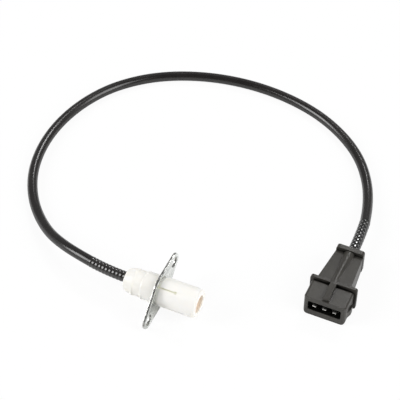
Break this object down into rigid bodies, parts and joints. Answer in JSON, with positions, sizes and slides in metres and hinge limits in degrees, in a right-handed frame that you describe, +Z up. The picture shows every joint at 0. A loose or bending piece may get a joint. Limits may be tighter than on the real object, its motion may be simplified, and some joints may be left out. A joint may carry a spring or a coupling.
{
  "type": "crankshaft position sensor",
  "caption": "Inductive engine speed sensor: round barrel with a bolted flange, fixed cable with ribbed sleeves, and a latching tab plug.",
  "frame": {"origin": "centre of the flange's mounting face, on the barrel's axis", "axes": "+X along the barrel to its tip, +Z up as the sensor lies on a bench with its cable laid out"},
  "size_m": [0.1898, 0.1785, 0.02],
  "materials": {
    "housing_plastic": "satin moulded",
    "plated_steel": "bright zinc plate",
    "soft_iron": "bare",
    "magnet": "sintered",
    "black_plastic": "moulded",
    "copper": "enamelled",
    "tinned_brass": "tinned",
    "cable_rubber": "smooth",
    "cable_core": "smooth",
    "plug_plastic": "moulded",
    "wire_white": "smooth",
    "wire_brown": "smooth",
    "wire_grey": "smooth"
  },
  "bodies": {
    "root": {"sensor_housing": "housing_plastic", "mounting_flange": "plated_steel", "pole_piece": "soft_iron", "magnet": "magnet", "coil_bobbin": "black_plastic", "coil_winding": "copper", "coil_terminal_a": "tinned_brass", "coil_terminal_b": "tinned_brass", "crimp_sleeve_a": "tinned_brass", "crimp_sleeve_b": "tinned_brass", "signal_wire_a": "wire_white", "signal_wire_b": "wire_brown", "head_cable_core": "cable_core", "head_bend_relief": "cable_rubber", "cable_jacket": "cable_rubber", "plug_bend_relief": "cable_rubber", "plug_cable_core": "cable_core", "plug_body": "plug_plastic", "contact_carrier": "black_plastic", "contact_blade_1": "tinned_brass", "contact_blade_2": "tinned_brass", "contact_blade_3": "tinned_brass", "plug_wire_1": "wire_white", "plug_wire_2": "wire_brown", "plug_wire_3": "wire_grey"}
  },
  "joints": []
}
